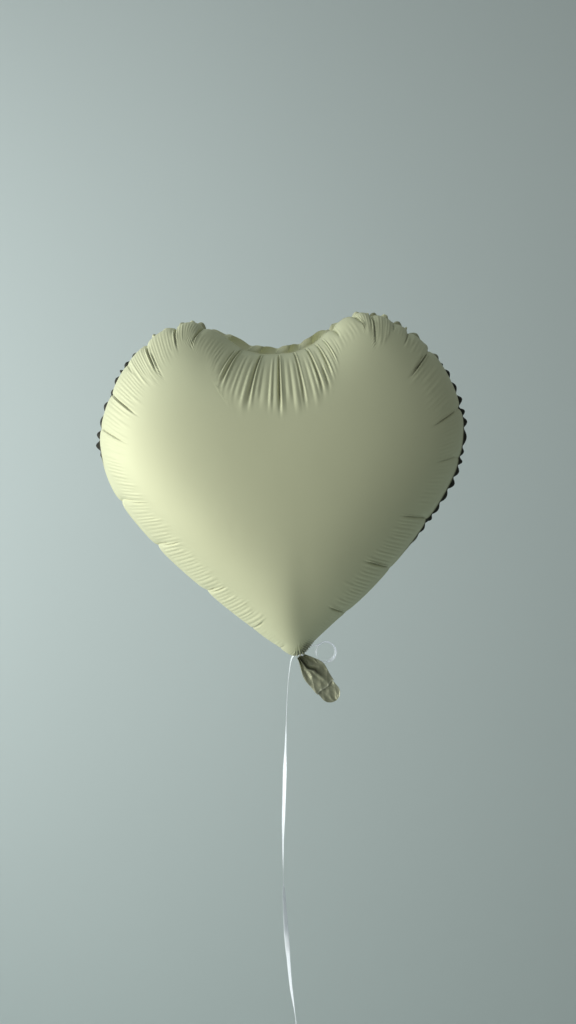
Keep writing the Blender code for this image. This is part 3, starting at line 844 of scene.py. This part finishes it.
# The short end's twist by the share of its length, in degrees: edge on at both sides of the ring's left
CURL_TWIST = (
    (0.0, -44.0), (0.12, -60.0), (0.25, -68.0), (0.38, -76.0), (0.50, -72.0), (0.56, -90.0), (0.63, -107.0),
    (0.69, -94.0), (0.75, -78.0), (0.88, -79.0), (1.0, -73.0),
)


def make_curl(material):
    """The short end: a lead from the knot, then a curl of 1.62 turns, a spiral in the XZ plane that also
    drifts 2.6 mm along Y."""
    origin = knot_place()
    ring = spiral(CURL_CENTRE, CURL_OUTER, CURL_INNER, CURL_ENTRY, CURL_TURNS, 120)
    lead = [polar(*LEAD_START), *LEAD_ROUTE[:2], tuple(ring[1]), tuple(ring[8])]
    route = evenly(np.vstack([smooth_curve(lead, 40)[:-1], ring[9:]]), 220)
    run = np.linspace(0.0, 1.0, len(route))
    drift = (-0.0012 + 0.0026 * step(0.2, 1.0, run)) * step(0.0, 0.2, run)
    path = np.stack([origin[0] + route[:, 0], origin[1] + drift, origin[2] + route[:, 1]], axis=1)
    twist = np.radians(knots(run, CURL_TWIST))
    points, faces, uv, length = strip_along(path, twist, RIBBON_WIDTH, RIBBON_THICKNESS)
    made = add_mesh("short_ribbon", points, faces, material, uv)
    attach(made, "curl")
    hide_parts("curl_lead", "ribbon_curl")
    return made


def superellipse(turn, wide, deep, power):
    """Round Z by the turn: x = wide |cos|^power and y = deep |sin|^power, each with its own sign."""
    x = np.sign(np.cos(turn)) * np.abs(np.cos(turn)) ** power * wide
    y = np.sign(np.sin(turn)) * np.abs(np.sin(turn)) ** power * deep
    return x, y


def upright_band(path, half, thickness, run, lift=0.0):
    """A band that stands on its edge along a path round Z: its half width lies along Z and its thickness
    across the path, moved out by the lift. Returns the points, faces and UVs of a closed strip."""
    up = np.array([0.0, 0.0, 1.0])
    out = unit(np.cross(unit(np.gradient(path, axis=0)), up))
    thin = thickness / 2
    corners = ((-half, -thin), (half, -thin), (half, thin), (-half, thin))
    points = np.stack([path + up * high + out * (lift + aside) for high, aside in corners], axis=1)
    end = len(path) * 4
    faces = grid_faces(len(path), 4, True).tolist()
    faces += [[3, 2, 1, 0], [end - 4, end - 3, end - 2, end - 1]]
    uv = np.stack([np.repeat(run, 4), np.tile([-half, half, half, -half], len(path))], axis=1)
    return points.reshape(-1, 3), faces, uv


def make_wrap(material):
    """Three turns of ribbon round the gathered neck: a helix flattened to a superellipse 4.7 mm by 2.1 mm
    from its middle. It wanders 1.5 mm up and down, and each turn lies a little over the last."""
    turn = np.linspace(0.0, 2 * math.pi * 3.0, 200)
    wide, deep = superellipse(turn, 0.0047, 0.0021, 0.77)
    rise = -TIP_DEPTH - NECK_LENGTH / 2 + 0.0011 * np.sin(turn / 3.0) + 0.0004 * np.cos(turn * 1.3)
    path = np.stack([TIP_SHIFT + wide, deep, rise], axis=1)
    lift = (0.0002 * np.sin(turn / 6.0))[:, None]
    points, faces, uv = upright_band(path, 0.0012, 0.00024, turn * 0.003, lift)
    made = add_mesh("neck_wrap", heart_to_world(points), faces, material, uv)
    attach(made, "balloon")
    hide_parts("ribbon_wrap")
    return made


def make_knot(material):
    """The knot: a flattened strand along a closed trefoil, x = sin t + 2 sin 2t, y = -sin 3t and
    z = cos t - 2 cos 2t, drawn tight to 2 mm from its middle."""
    origin = knot_place()
    t = np.linspace(0.0, 2 * math.pi, 161)
    size = 0.00062
    curve = [np.sin(t) + 2 * np.sin(2 * t), -1.0 * np.sin(3 * t), np.cos(t) - 2 * np.cos(2 * t)]
    path = origin + np.stack(curve, axis=1) * size
    tangent = unit(np.roll(path, -1, axis=0) - np.roll(path, 1, axis=0))
    wide = unit(np.cross(tangent, path - origin))
    thick = np.cross(wide, tangent)
    ring = np.linspace(0.0, 2 * math.pi, 10, endpoint=False)
    section = np.stack([0.00075 * np.cos(ring), 0.00028 * np.sin(ring)], axis=1)
    points = (path[:-1, None] + wide[:-1, None] * section[None, :, :1]
              + thick[:-1, None] * section[None, :, 1:])
    count = len(ring)
    rows = len(points)
    index = np.arange(rows)
    across = np.arange(count)
    ahead = (across + 1) % count
    low = index[:, None] * count
    high = ((index + 1) % rows)[:, None] * count
    quads = np.stack([low + across, high + across, high + ahead, low + ahead], axis=2)
    uv = np.stack([np.repeat(index * 0.0002, count), np.tile(section[:, 0], rows)], axis=1)
    made = add_mesh("tie_knot", points.reshape(-1, 3), quads.reshape(-1, 4).tolist(), material, uv)
    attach(made, "balloon")
    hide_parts("ribbon_knot")
    return made


def make_coil_tie(material):
    """The tie round the coil: a band round a superellipse 5.1 mm by 3.5 mm from its middle, with its two
    ends crossed."""
    origin = knot_place()
    centre = np.array([origin[0] + COIL_CENTRE[0] + COIL_MEAN, origin[1], origin[2] + COIL_CENTRE[1]])
    turn = np.linspace(-0.35, 2 * math.pi + 0.35, 120)
    wide, deep = superellipse(turn, 0.0051, 0.0035, 0.8)
    grow = 1 + 0.10 * step(2 * math.pi - 0.6, 2 * math.pi + 0.35, turn)
    path = centre + np.stack([wide * grow, deep * grow, 0.0012 * (turn - math.pi) / math.pi], axis=1)
    points, faces, uv = upright_band(path, 0.0019, 0.0002, turn * 0.004)
    made = add_mesh("coil_band", points, faces, material, uv)
    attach(made, "long_end")
    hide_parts("coil_tie")
    return made


# ------------------------ filling tail
def tail_to_world(points):
    """From the tail's own frame, hanging along -Z from the hinge and turned about Y by the tail's angle."""
    hinge = heart_to_world(np.array([TIP_SHIFT, 0.0, -TIP_DEPTH - NECK_LENGTH - FOIL_GAP]))
    x, y, z = points[..., 0], points[..., 1], points[..., 2]
    c, s = math.cos(TAIL_ANGLE), math.sin(TAIL_ANGLE)
    return hinge + np.stack([x * c - z * s, y, x * s + z * c], axis=-1)


def tail_half_width(down, across, length, rounded):
    """Half the tail's width by distance down: root to shoulder as a smooth swell, then level, and for the
    tab a half circle at its end. The right side is fuller, by a bell 3.6 mm high, 13 mm wide, at 20 mm."""
    full = TAIL_WIDTH / 2 + np.where(across > 0, 0.0036, 0.0) * np.exp(-((down - 0.020) / 0.013) ** 2)
    root = np.where(across > 0, 0.0040, 0.0022)
    power = np.where(across > 0, 0.42, 0.85)
    grown = root + (full - root) * step(-0.001, TAIL_SHOULDER, down) ** power
    if not rounded:
        return grown
    inner = TAB_WIDTH / 2
    narrow = full + (inner - full) * step(MOUTH_AT - 0.004, MOUTH_AT + 0.002, down)
    body = np.minimum(grown, narrow)
    left = np.clip(length - down, 0.0, inner)
    return np.minimum(body, np.sqrt(np.maximum(inner**2 - (inner - left) ** 2, 1e-10)))


# Where the tail's valley runs, as a share of the half width, by distance down
VALLEY_WAY = ((0.0, -0.12), (0.012, -0.10), (0.021, 0.22), (0.034, 0.34))


def tail_folds(across, down, seed):
    """Depth of the folds: a deep valley that winds down from the tie, sine ridges of the across share that
    fan from the tie, and a seeded crinkle of crossed waves. Also returns how deep in a fold each point
    lies, for the painted shade in the folds."""
    chance = np.random.default_rng(seed)
    narrow = 0.24 - 0.09 * step(0.0, 0.02, down)
    valley = np.exp(-((across - knots(down, VALLEY_WAY)) / narrow) ** 2)
    valley = valley * between(-0.002, 0.003, 0.020, 0.036, down)
    ridges = np.sin(across * 9.5 + 0.6) * np.exp(-down / 0.015)
    crinkle = np.zeros_like(down)
    for size in (0.011, 0.0070, 0.0048):
        for _ in range(2):
            bearing = chance.uniform(0, math.pi)
            phase = chance.uniform(0, 2 * math.pi)
            run = (across * 0.011 * math.cos(bearing) + down * math.sin(bearing)) / size
            crinkle += size * 0.028 * (np.abs(np.sin(math.pi * run + phase)) - 0.6)
    depth = 0.0018 * ridges + crinkle * step(0.006, 0.016, down) - 0.0030 * valley
    # Painted shade in the valley and between the ridges
    shade = 0.95 * valley**1.3 + 0.62 * np.clip(-ridges, 0.0, 1.0)
    return depth, np.clip(shade, 0.0, 0.9)


def make_tail_film(name, node, length, rounded, side, seed, material):
    """One tail film, side -1 in front: a grid across and down, its middle surface moved along Y by the
    folds, closed by a back layer 0.12 mm behind it."""
    rows = 130
    columns = 64
    reach = np.linspace(0.0, 1.0, rows)[:, None]
    down = (TAIL_START - 0.0022) + (length - TAIL_START + 0.0022) * reach
    down = down * np.ones((1, columns))
    if rounded:
        down = np.minimum(down, length - 1e-5)
    across = np.linspace(-1.0, 1.0, columns)[None] * np.ones((rows, 1))
    half = tail_half_width(down, across, length, rounded)
    folds, shade = tail_folds(across, down, FOIL_SEED + 3)
    own, _ = tail_folds(across * 1.3 + 0.4, down, seed)
    gap = TAIL_GAP / 2 + 0.0009 * step(0.012, 0.034, down) * (1 - across**2)
    y = folds + side * gap + own * 0.06 * step(0.004, 0.02, down)
    mouth = 0.0006 * np.sin(across * 5.0 + 1.0) if not rounded else 0.0
    middle = np.stack([across * half, y, -(down + mouth * step(length - 0.006, length, down))], axis=2)
    normal = grid_normals(middle, False)
    front = middle - normal * 0.00006
    back = middle + normal * 0.00006
    points = np.concatenate([front.reshape(-1, 3), back.reshape(-1, 3)])
    quads = grid_faces(rows, columns, False)
    size = rows * columns
    ring = np.concatenate([np.arange(columns - 1), np.arange(rows - 1) * columns + columns - 1,
                           (rows - 1) * columns + np.arange(columns - 1, 0, -1),
                           np.arange(rows - 1, 0, -1) * columns])
    ahead = np.roll(ring, -1)
    hem = np.stack([ring, ahead, ahead + size, ring + size], axis=1)
    faces = quads[:, ::-1].tolist() + (quads + size).tolist() + hem.tolist()
    uv = np.stack([across * half, down], axis=2).reshape(-1, 2)
    # The folds' painted shade, for the front and back layers
    painted_dark = np.tile(shade.ravel(), 2)
    made = add_mesh(name, tail_to_world(points), faces, material, np.vstack([uv, uv]), painted_dark)
    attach(made, "tail")
    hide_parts(node)
    return made


# ------------------------ stage
CAMERA_BACK = 0.7396


def make_camera():
    data = bpy.data.cameras.new("front_camera")
    data.lens = 26.0
    data.sensor_width = 36.0
    made = bpy.data.objects.new("front_camera", data)
    made.location = (0.004, -SEAM_TO_WALL - CAMERA_BACK, -0.042)
    made.rotation_euler = (math.pi / 2, 0.0, 0.0)
    bpy.context.collection.objects.link(made)
    bpy.context.scene.camera = made


def aim(thing, target):
    """Turns a lamp so that its -Z points at the target."""
    thing.rotation_euler = (Vector(target) - thing.location).to_track_quat("-Z", "Y").to_euler()


def add_lamp(name, place, target, size, power, colour):
    data = bpy.data.lights.new(name, "AREA")
    data.shape = "RECTANGLE"
    data.size = size[0]
    data.size_y = size[1]
    data.energy = power
    data.color = colour
    made = bpy.data.objects.new(name, data)
    made.location = place
    bpy.context.collection.objects.link(made)
    aim(made, target)
    return made


def pale_finish():
    finish = Finish("pale_backdrop", 0.9, 0.0)
    cloud = finish.noise(0.6, 1.0)
    finish.colour(finish.mixed(cloud, (0.64, 0.71, 0.70, 1.0), (0.67, 0.74, 0.73, 1.0)))
    return finish.material


def make_stage():
    """A pale wall and floor behind and below the balloon, a pale room and three soft lamps."""
    material = pale_finish()
    side = 7.0
    far = 2.5
    low = -2.6
    high = 6.0
    upright = np.array([[-side, far, low], [side, far, low], [side, far, high], [-side, far, high]])
    level = np.array([[-side, -side, low], [side, -side, low], [side, far, low], [-side, far, low]])
    wall = add_mesh("wall_sheet", upright, [[0, 1, 2, 3]], material)
    floor = add_mesh("floor_sheet", level, [[0, 1, 2, 3]], material)
    world = bpy.data.worlds.new("pale_room")
    world.use_nodes = True
    glow = world.node_tree.nodes["Background"]
    glow.inputs["Color"].default_value = (0.64, 0.69, 0.67, 1.0)
    glow.inputs["Strength"].default_value = 0.27
    bpy.context.scene.world = world
    bpy.context.scene.view_settings.view_transform = "Standard"
    add_lamp("window", (-1.87, -1.07, -0.48), (0.0, -0.1, -0.02), (2.2, 2.2), 27.6, (1.0, 0.99, 0.93))
    add_lamp("sky", (-1.1, -1.0, 1.5), (0.0, -0.1, 0.05), (1.2, 1.2), 5.0, (0.80, 0.96, 1.0))
    add_lamp("wall_wash", (-3.2, 0.0, 0.5), (0.7, 2.5, 0.95), (3.4, 4.0), 95.0, (0.95, 1.0, 1.0))


def main():
    make_camera()
    ribbon = ribbon_finish()
    make_long_end(ribbon)
    make_curl(ribbon)
    make_wrap(ribbon)
    make_knot(ribbon)
    make_coil_tie(ribbon)
    foil = foil_finish()
    front = make_film("front_panel", -1, FOIL_SEED, foil)
    rear = make_film("rear_panel", 1, FOIL_SEED + 1, foil)
    for piece, node in ((front, "front_film"), (rear, "rear_film")):
        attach(piece, "balloon")
        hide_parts(node)
    crinkled = tail_finish()
    make_tail_film("tail_front", "tail_front_film", MOUTH_AT, False, -1, FOIL_SEED + 11, crinkled)
    make_tail_film("tail_rear", "tail_rear_film", TAB_END, True, 1, FOIL_SEED + 12, crinkled)
    valve = valve_finish()
    for node in ("valve_front_strip", "valve_rear_strip"):
        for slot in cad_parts[node].material_slots:
            slot.material = valve
    make_stage()


main()
